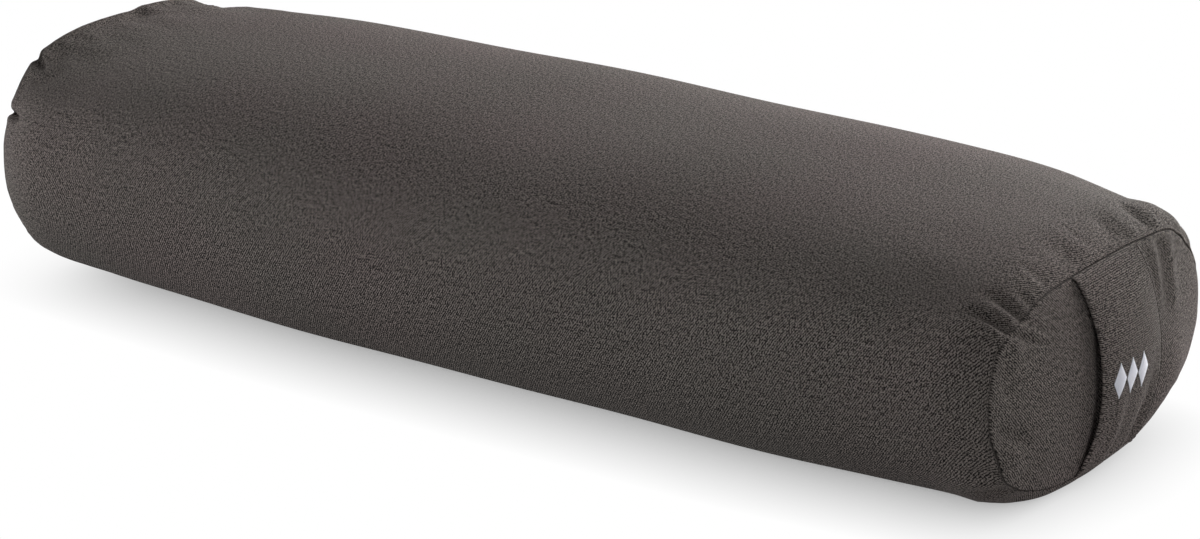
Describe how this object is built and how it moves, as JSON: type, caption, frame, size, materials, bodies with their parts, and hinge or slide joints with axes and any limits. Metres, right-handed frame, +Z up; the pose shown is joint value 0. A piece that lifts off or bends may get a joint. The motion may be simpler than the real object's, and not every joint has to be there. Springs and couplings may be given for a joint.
{
  "type": "yoga bolster",
  "caption": "Long firm yoga bolster with an oblong section: sewn cotton cover with domed ends, a flat carry handle on one end and a long-seam zip, over a zipped liner and loose filling.",
  "frame": {"origin": "on the floor under the middle of the bolster as it lies on its underside", "axes": "+X along the bolster towards the end with the carry handle, +Y across it towards the zip, +Z up"},
  "size_m": [0.7146, 0.2783, 0.1485],
  "materials": {
    "cover_twill": "matte heavy cotton twill, dark brownish grey",
    "handle_twill": "matte folded cotton strap, dark brownish grey",
    "sewing_thread": "matte polyester sewing thread",
    "zip_tape": "fine woven tape",
    "zip_coil": "satin nylon",
    "zip_metal": "dark satin coated die casting",
    "liner_cotton": "plain undyed cotton",
    "liner_thread": "matte undyed thread",
    "liner_zip": "pale nylon coil and tape",
    "filling_cotton": "loose cotton wadding"
  },
  "bodies": {
    "bolster": {"cover_body": "cover_twill", "cover_handle_end": "cover_twill", "cover_far_end": "cover_twill", "carry_handle": "handle_twill", "cover_handle_end_thread": "sewing_thread", "cover_far_end_thread": "sewing_thread", "cover_zip_tape_upper": "zip_tape", "cover_zip_tape_lower": "zip_tape", "cover_zip_coil_upper": "zip_coil", "cover_zip_coil_lower": "zip_coil", "cover_zip_top_stop_upper": "zip_metal", "cover_zip_top_stop_lower": "zip_metal", "cover_zip_bottom_stop": "zip_metal", "liner_body": "liner_cotton", "liner_handle_end": "liner_cotton", "liner_far_end": "liner_cotton", "liner_handle_end_thread": "liner_thread", "liner_far_end_thread": "liner_thread", "liner_zip_tape_upper": "liner_zip", "liner_zip_tape_lower": "liner_zip", "liner_zip_coil_upper": "liner_zip", "liner_zip_coil_lower": "liner_zip", "liner_zip_top_stop_upper": "zip_metal", "liner_zip_top_stop_lower": "zip_metal", "liner_zip_bottom_stop": "zip_metal", "filling": "filling_cotton"},
    "cover_slider": {"cover_zip_slider": "zip_metal"},
    "cover_pull_tab": {"cover_zip_pull_tab": "zip_metal"},
    "liner_slider": {"liner_zip_slider": "zip_metal"}
  },
  "joints": [
    {"name": "cover_zip_slide", "type": "slide", "parent": "bolster", "child": "cover_slider", "axis": [-1, 0, 0], "range_m": [0, 0.366]},
    {"name": "cover_tab_hinge", "type": "hinge", "parent": "cover_slider", "child": "cover_pull_tab", "pos_m": [0.1813, 0.13684, 0.09517], "axis": [0, 0.199, -0.98], "range_deg": [0, 125]},
    {"name": "liner_zip_slide", "type": "slide", "parent": "bolster", "child": "liner_slider", "axis": [1, 0, 0], "range_m": [0, 0.366]}
  ]
}
